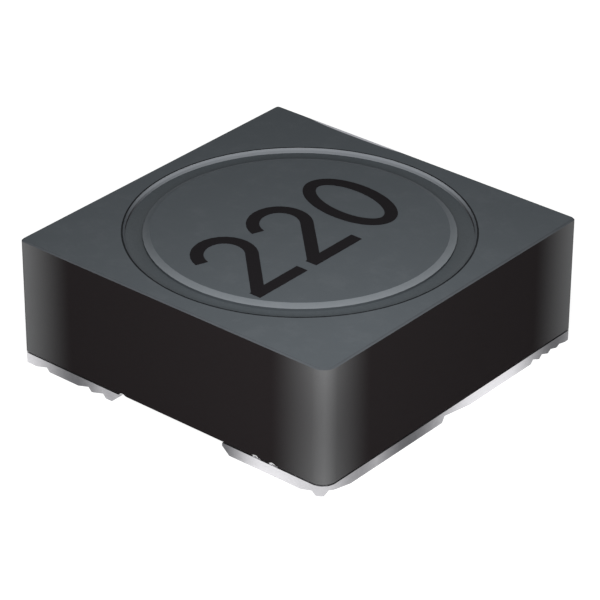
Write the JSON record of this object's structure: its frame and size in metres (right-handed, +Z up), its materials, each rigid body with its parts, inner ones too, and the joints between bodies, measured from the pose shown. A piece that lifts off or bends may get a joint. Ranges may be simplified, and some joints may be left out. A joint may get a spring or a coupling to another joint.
{
  "type": "shielded smd inductor",
  "caption": "Square low-profile surface-mount power inductor: a wound ferrite drum bonded into the round bore of a square ferrite shield, standing on flat tinned solder terminals.",
  "frame": {"origin": "centre of the square footprint, on the solder plane (the undersides of the terminals)", "axes": "+Z up out of the circuit board, +X towards the terminal whose lead starts the inner layer, +Y along the terminals"},
  "size_m": [0.0122, 0.0122, 0.0044],
  "materials": {
    "ferrite_shield": "pressed and sintered ferrite, satin, dark slate grey",
    "ferrite_drum": "ground ferrite, satin, dark slate grey",
    "enamelled_wire": "enamelled copper wire, glossy",
    "base_moulding": "moulded liquid crystal polymer, black, matt",
    "tinned_terminal": "tin-plated copper alloy, bright, uneven",
    "solder": "tin solder, bright",
    "top_epoxy": "cured filled epoxy, dark grey",
    "bond_epoxy": "cured epoxy, amber"
  },
  "bodies": {
    "root": {"drum_core": "ferrite_drum", "shield_ring": "ferrite_shield", "winding": "enamelled_wire", "base_plate": "base_moulding", "terminal_left": "tinned_terminal", "terminal_right": "tinned_terminal", "solder_joint_left": "solder", "solder_joint_right": "solder", "top_adhesive": "top_epoxy", "drum_adhesive": "bond_epoxy", "base_adhesive": "bond_epoxy"}
  },
  "joints": []
}
